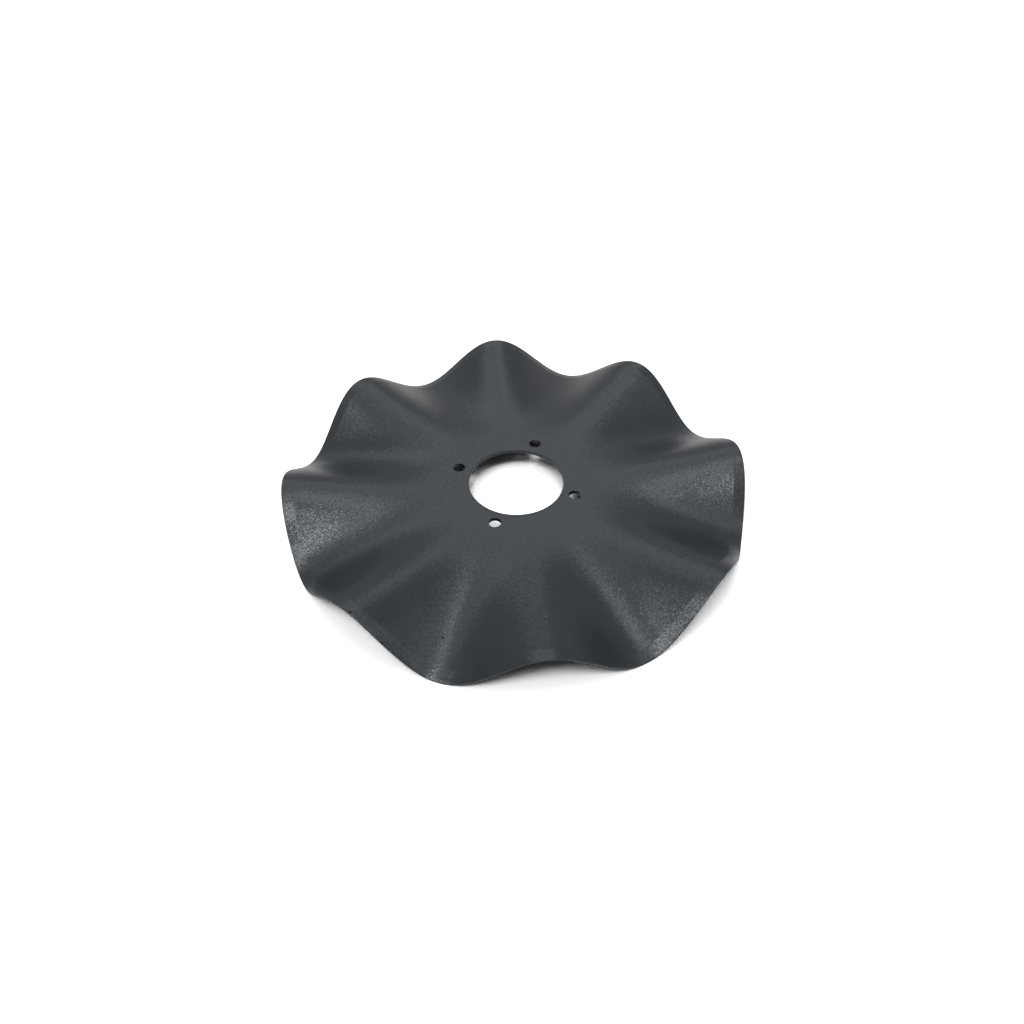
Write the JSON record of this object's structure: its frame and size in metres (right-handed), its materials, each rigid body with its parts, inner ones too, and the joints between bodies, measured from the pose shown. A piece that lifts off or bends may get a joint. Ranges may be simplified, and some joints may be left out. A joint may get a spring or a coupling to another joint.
{
  "type": "seed drill disc",
  "caption": "Round pressed steel disc with a flat bolted centre, a large bore and radial waves that grow towards a ground cutting rim.",
  "frame": {"origin": "centre of the bore, half way through the plate", "axes": "+Z along the disc's axis; +X out along the crest of one wave; the disc lies flat with its axis upright"},
  "size_m": [0.457, 0.457, 0.047],
  "materials": {
    "painted_steel": "dark charcoal paint over a fine grain, satin, with small bright grains where the light grazes it"
  },
  "bodies": {
    "root": {"wavy_disc": "painted_steel"}
  },
  "joints": []
}
